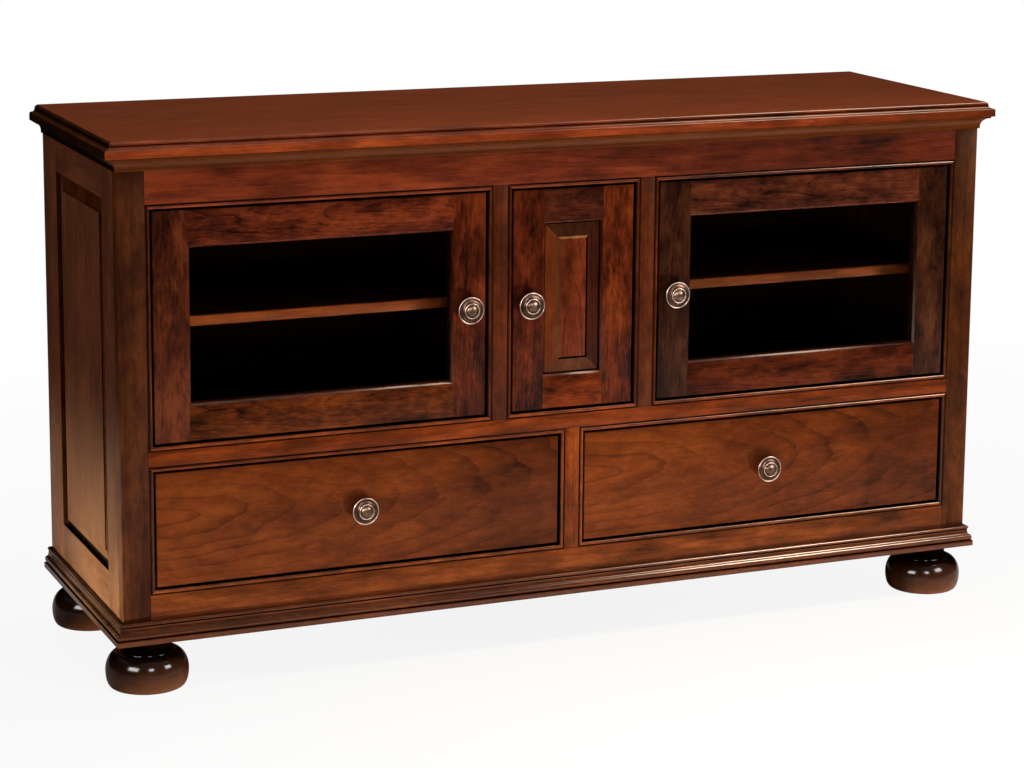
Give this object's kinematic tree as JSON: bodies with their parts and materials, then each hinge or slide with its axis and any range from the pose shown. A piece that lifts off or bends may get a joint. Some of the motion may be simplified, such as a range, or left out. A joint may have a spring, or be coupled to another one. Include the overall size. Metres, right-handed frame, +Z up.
{
  "type": "tv console",
  "caption": "Traditional stained cherry media cabinet with glazed side doors, a raised-panel centre door, wide drawers below, a moulded top and base, and turned bun feet.",
  "frame": {"origin": "on the floor, under the middle of the top's outline", "axes": "+X to the right along the width, +Y from the front to the back, +Z up"},
  "size_m": [1.524, 0.473, 0.854],
  "materials": {
    "cherry": "satin lacquer over a dark cherry stain",
    "dark_cherry": "gloss lacquer over a dark cherry stain",
    "drawer_wood": "clear satin lacquer",
    "glass": "clear",
    "bronze": "antique bronze",
    "hinge_steel": "dull"
  },
  "bodies": {
    "case": {"top": "cherry", "cove_front": "cherry", "cove_left": "cherry", "cove_right": "cherry", "stile_left": "cherry", "stile_right": "cherry", "top_rail": "cherry", "mid_rail": "cherry", "bottom_rail": "cherry", "mullion_left": "cherry", "mullion_right": "cherry", "drawer_mullion": "cherry", "side_frame_left": "cherry", "side_frame_right": "cherry", "side_panel_left": "cherry", "side_panel_right": "cherry", "bottom_deck": "cherry", "mid_deck": "cherry", "drawer_divider": "cherry", "partition_left": "cherry", "partition_right": "cherry", "shelf_left": "cherry", "shelf_right": "cherry", "back_panel": "cherry", "base_front": "cherry", "base_left": "cherry", "base_right": "cherry", "foot_front_left": "dark_cherry", "foot_front_right": "dark_cherry", "foot_back_left": "dark_cherry", "foot_back_right": "dark_cherry", "left_hinge_lower": "hinge_steel", "left_hinge_upper": "hinge_steel", "centre_hinge_lower": "hinge_steel", "centre_hinge_upper": "hinge_steel", "right_hinge_lower": "hinge_steel", "right_hinge_upper": "hinge_steel", "left_runner_outer": "drawer_wood", "left_runner_inner": "drawer_wood", "right_runner_outer": "drawer_wood", "right_runner_inner": "drawer_wood"},
    "left_door": {"left_door_frame": "cherry", "left_door_glass": "glass", "left_glass_stop": "cherry", "left_door_knob": "bronze"},
    "centre_door": {"centre_door_frame": "cherry", "centre_door_panel": "cherry", "centre_door_knob": "bronze"},
    "right_door": {"right_door_frame": "cherry", "right_door_glass": "glass", "right_glass_stop": "cherry", "right_door_knob": "bronze"},
    "left_drawer": {"left_drawer_front": "cherry", "left_drawer_box": "drawer_wood", "left_drawer_bottom": "drawer_wood", "left_drawer_knob": "bronze"},
    "right_drawer": {"right_drawer_front": "cherry", "right_drawer_box": "drawer_wood", "right_drawer_bottom": "drawer_wood", "right_drawer_knob": "bronze"}
  },
  "joints": [
    {"name": "left_door_hinge", "type": "hinge", "parent": "case", "child": "left_door", "pos_m": [-0.676, -0.2075, 0.386], "axis": [0, 0, -1], "range_deg": [0, 105]},
    {"name": "centre_door_hinge", "type": "hinge", "parent": "case", "child": "centre_door", "pos_m": [0.093, -0.2075, 0.386], "axis": [0, 0, 1], "range_deg": [0, 95]},
    {"name": "right_door_hinge", "type": "hinge", "parent": "case", "child": "right_door", "pos_m": [0.676, -0.2075, 0.386], "axis": [0, 0, 1], "range_deg": [0, 105]},
    {"name": "left_drawer_slide", "type": "slide", "parent": "case", "child": "left_drawer", "axis": [0, -1, 0], "range_m": [0, 0.3]},
    {"name": "right_drawer_slide", "type": "slide", "parent": "case", "child": "right_drawer", "axis": [0, -1, 0], "range_m": [0, 0.3]}
  ]
}
